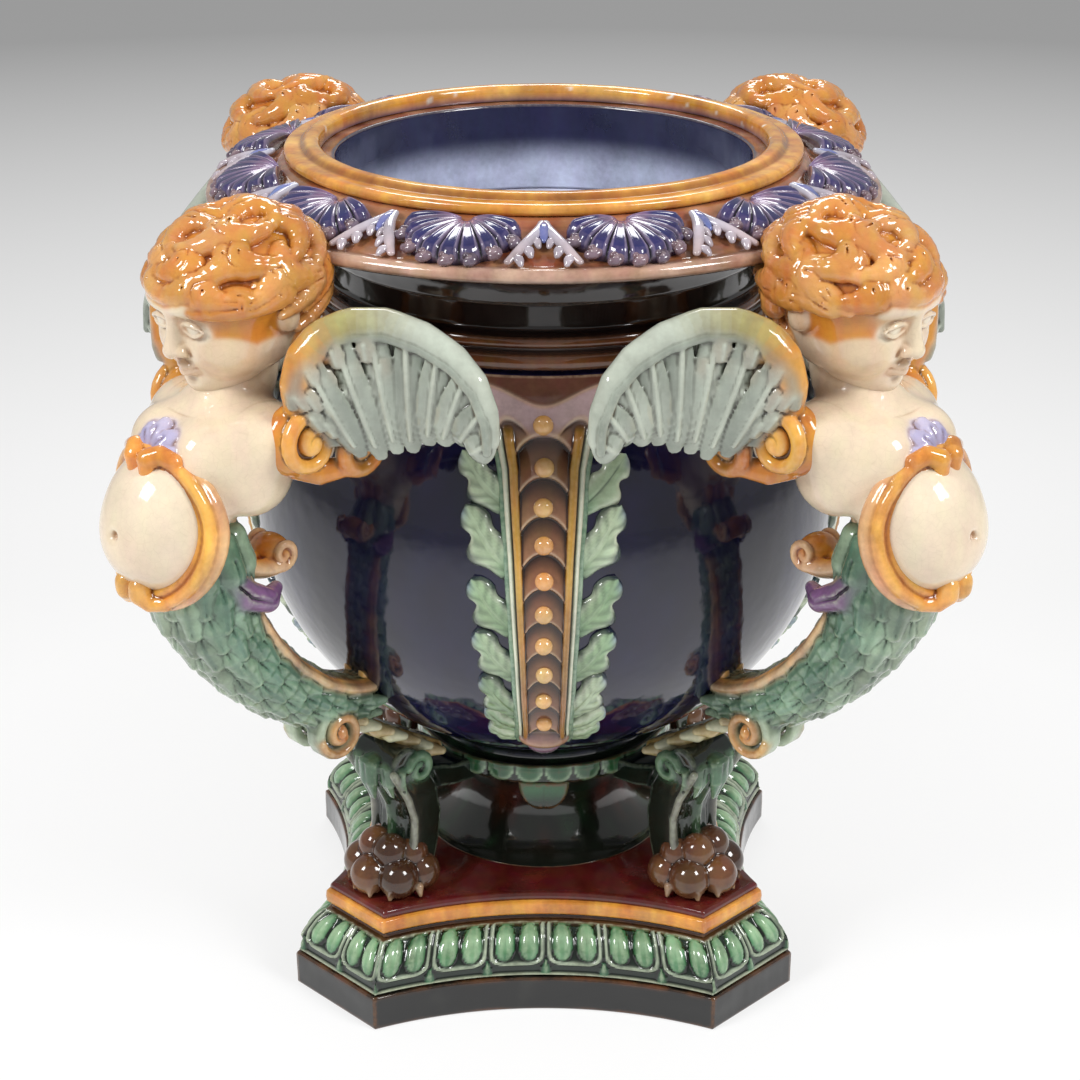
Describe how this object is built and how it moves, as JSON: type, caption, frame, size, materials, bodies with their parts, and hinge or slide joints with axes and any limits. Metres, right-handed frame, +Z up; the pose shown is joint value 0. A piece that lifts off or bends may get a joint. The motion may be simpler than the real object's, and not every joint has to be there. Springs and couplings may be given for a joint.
{
  "type": "jardiniere on stand",
  "caption": "Round glazed jardiniere with winged putto handles and a shell collar, lifting off its lion-footed stand on a hollow-sided plinth.",
  "frame": {"origin": "middle of the plinth's underside", "axes": "+Z up, -Y towards the front strap, +X to the right seen from the front; handles, legs and paws on the diagonals"},
  "size_m": [0.3726, 0.3726, 0.403],
  "materials": {
    "black_glaze": "gloss",
    "green_glaze": "gloss",
    "brown_glaze": "gloss",
    "orange_glaze": "gloss",
    "red_glaze": "gloss",
    "cobalt_glaze": "gloss",
    "dark_neck_glaze": "gloss",
    "lilac_glaze": "gloss",
    "leaf_green_glaze": "gloss",
    "strap_glaze": "gloss",
    "flesh_glaze": "gloss",
    "scale_green_glaze": "gloss",
    "ochre_glaze": "gloss",
    "wing_glaze": "gloss"
  },
  "bodies": {
    "stand": {"plinth_foot": "black_glaze", "leaf_moulding": "green_glaze", "plinth_cove": "brown_glaze", "plinth_band": "orange_glaze", "plinth_top": "red_glaze", "stand_column": "brown_glaze", "stand_crown": "brown_glaze", "lion_leg_front_left": "green_glaze", "lion_leg_front_right": "green_glaze", "lion_leg_back_right": "green_glaze", "lion_leg_back_left": "green_glaze", "lion_paw_front_left": "brown_glaze", "lion_paw_front_right": "brown_glaze", "lion_paw_back_right": "brown_glaze", "lion_paw_back_left": "brown_glaze"},
    "jardiniere": {"rim": "orange_glaze", "bowl": "cobalt_glaze", "bowl_foot": "cobalt_glaze", "neck": "dark_neck_glaze", "shell_collar": "brown_glaze", "collar_shells": "lilac_glaze", "strap_leaves": "leaf_green_glaze", "strap_front": "strap_glaze", "strap_right": "strap_glaze", "strap_back": "strap_glaze", "strap_left": "strap_glaze", "putto_head_front_left": "flesh_glaze", "putto_torso_front_left": "flesh_glaze", "paunch_frame_front_left": "orange_glaze", "loop_scroll_front_left": "orange_glaze", "putto_tail_front_left": "scale_green_glaze", "tail_brace_front_left": "ochre_glaze", "wing_left_front_left": "wing_glaze", "wing_right_front_left": "wing_glaze", "putto_head_front_right": "flesh_glaze", "putto_torso_front_right": "flesh_glaze", "paunch_frame_front_right": "orange_glaze", "loop_scroll_front_right": "orange_glaze", "putto_tail_front_right": "scale_green_glaze", "tail_brace_front_right": "ochre_glaze", "wing_left_front_right": "wing_glaze", "wing_right_front_right": "wing_glaze", "putto_head_back_right": "flesh_glaze", "putto_torso_back_right": "flesh_glaze", "paunch_frame_back_right": "orange_glaze", "loop_scroll_back_right": "orange_glaze", "putto_tail_back_right": "scale_green_glaze", "tail_brace_back_right": "ochre_glaze", "wing_left_back_right": "wing_glaze", "wing_right_back_right": "wing_glaze", "putto_head_back_left": "flesh_glaze", "putto_torso_back_left": "flesh_glaze", "paunch_frame_back_left": "orange_glaze", "loop_scroll_back_left": "orange_glaze", "putto_tail_back_left": "scale_green_glaze", "tail_brace_back_left": "ochre_glaze", "wing_left_back_left": "wing_glaze", "wing_right_back_left": "wing_glaze"}
  },
  "joints": [
    {"name": "lift_off", "type": "slide", "parent": "stand", "child": "jardiniere", "axis": [0, 0, 1], "range_m": [0, 0.13]}
  ]
}
